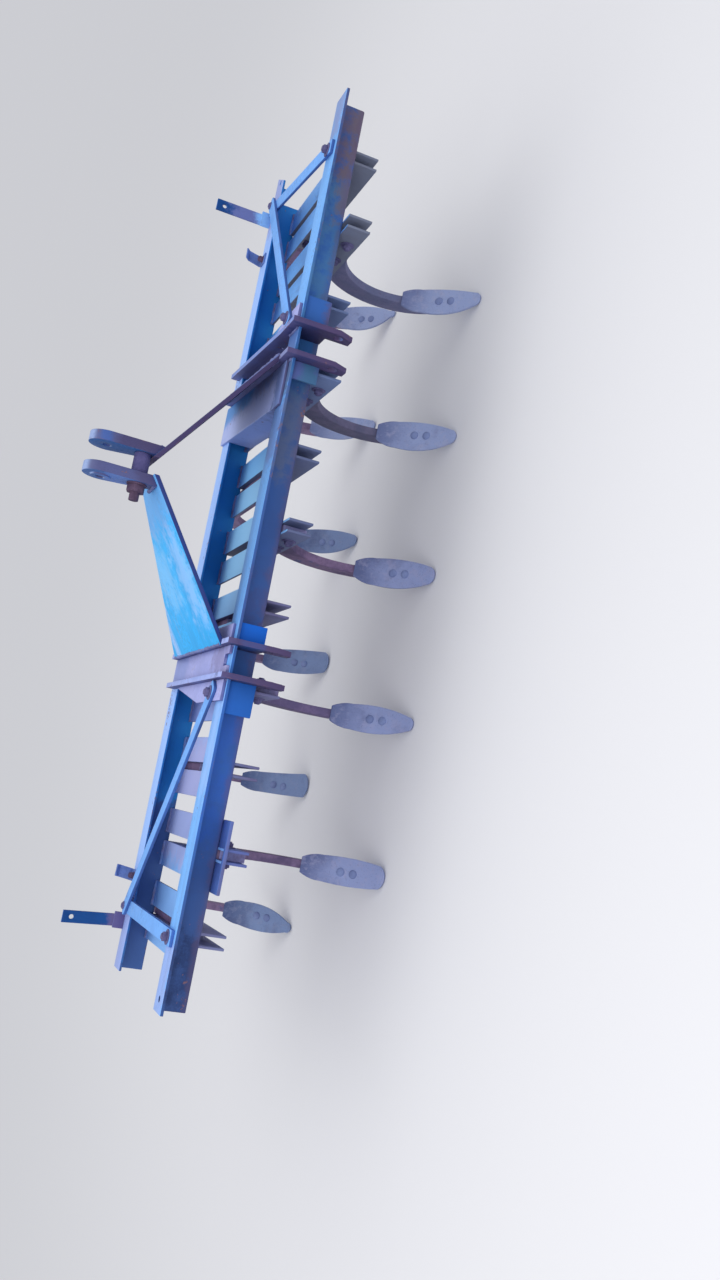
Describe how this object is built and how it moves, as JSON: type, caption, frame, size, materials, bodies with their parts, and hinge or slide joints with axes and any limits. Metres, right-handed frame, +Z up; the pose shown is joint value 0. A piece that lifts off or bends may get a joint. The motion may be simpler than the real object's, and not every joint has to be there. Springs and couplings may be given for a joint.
{
  "type": "tine cultivator",
  "caption": "Tractor-mounted tine cultivator: two angle-iron beams, slotted cross carriers, C-shaped tines with bolted shovels, hitch plates and a top-link mast.",
  "frame": {"origin": "on the ground under the middle of the machine, the centre of its bounding box", "axes": "+X along the beams to the machine's left-hand end as it faces the tractor's rear wheels, +Y from the tractor side to the rear, +Z up"},
  "size_m": [2.162, 1.058, 0.8774],
  "materials": {
    "faded_blue": "worn and faded light blue paint",
    "carrier_paint": "dusty light blue paint, rusty at the lower edges",
    "bright_blue": "bright blue paint, scratched",
    "dark_hitch": "dark, rusty remains of paint",
    "rusty_shank": "brown rusty forged steel",
    "worn_shovel": "grey worn steel with soil marks"
  },
  "bodies": {
    "root": {"brace_left": "faded_blue", "brace_right": "faded_blue", "bridge_plate": "faded_blue", "carrier_01": "carrier_paint", "carrier_02": "carrier_paint", "carrier_03": "carrier_paint", "carrier_04": "carrier_paint", "carrier_05": "carrier_paint", "carrier_06": "carrier_paint", "carrier_07": "carrier_paint", "carrier_08": "carrier_paint", "carrier_09": "carrier_paint", "carrier_10": "carrier_paint", "carrier_11": "carrier_paint", "cleat_left_inner": "bright_blue", "cleat_left_outer": "bright_blue", "cleat_right_inner": "bright_blue", "cleat_right_outer": "bright_blue", "end_bar_left": "faded_blue", "end_bar_right": "faded_blue", "front_beam": "faded_blue", "gusset_left": "faded_blue", "gusset_right": "faded_blue", "hitch_left_inner": "dark_hitch", "hitch_left_outer": "dark_hitch", "hitch_right_inner": "dark_hitch", "hitch_right_outer": "dark_hitch", "mast_crossbar": "dark_hitch", "mast_ear_left": "dark_hitch", "mast_ear_right": "dark_hitch", "mast_foot_left": "faded_blue", "mast_foot_right": "faded_blue", "mast_leg_left": "bright_blue", "mast_leg_right": "bright_blue", "post_left": "dark_hitch", "post_right": "dark_hitch", "rear_beam": "faded_blue", "shank_01": "rusty_shank", "shank_02": "rusty_shank", "shank_03": "rusty_shank", "shank_04": "rusty_shank", "shank_05": "rusty_shank", "shank_06": "rusty_shank", "shank_07": "rusty_shank", "shank_08": "rusty_shank", "shank_09": "rusty_shank", "shank_10": "rusty_shank", "shank_11": "rusty_shank", "shovel_01": "worn_shovel", "shovel_02": "worn_shovel", "shovel_03": "worn_shovel", "shovel_04": "worn_shovel", "shovel_05": "worn_shovel", "shovel_06": "worn_shovel", "shovel_07": "worn_shovel", "shovel_08": "worn_shovel", "shovel_09": "worn_shovel", "shovel_10": "worn_shovel", "shovel_11": "worn_shovel", "under_strip": "faded_blue"}
  },
  "joints": []
}
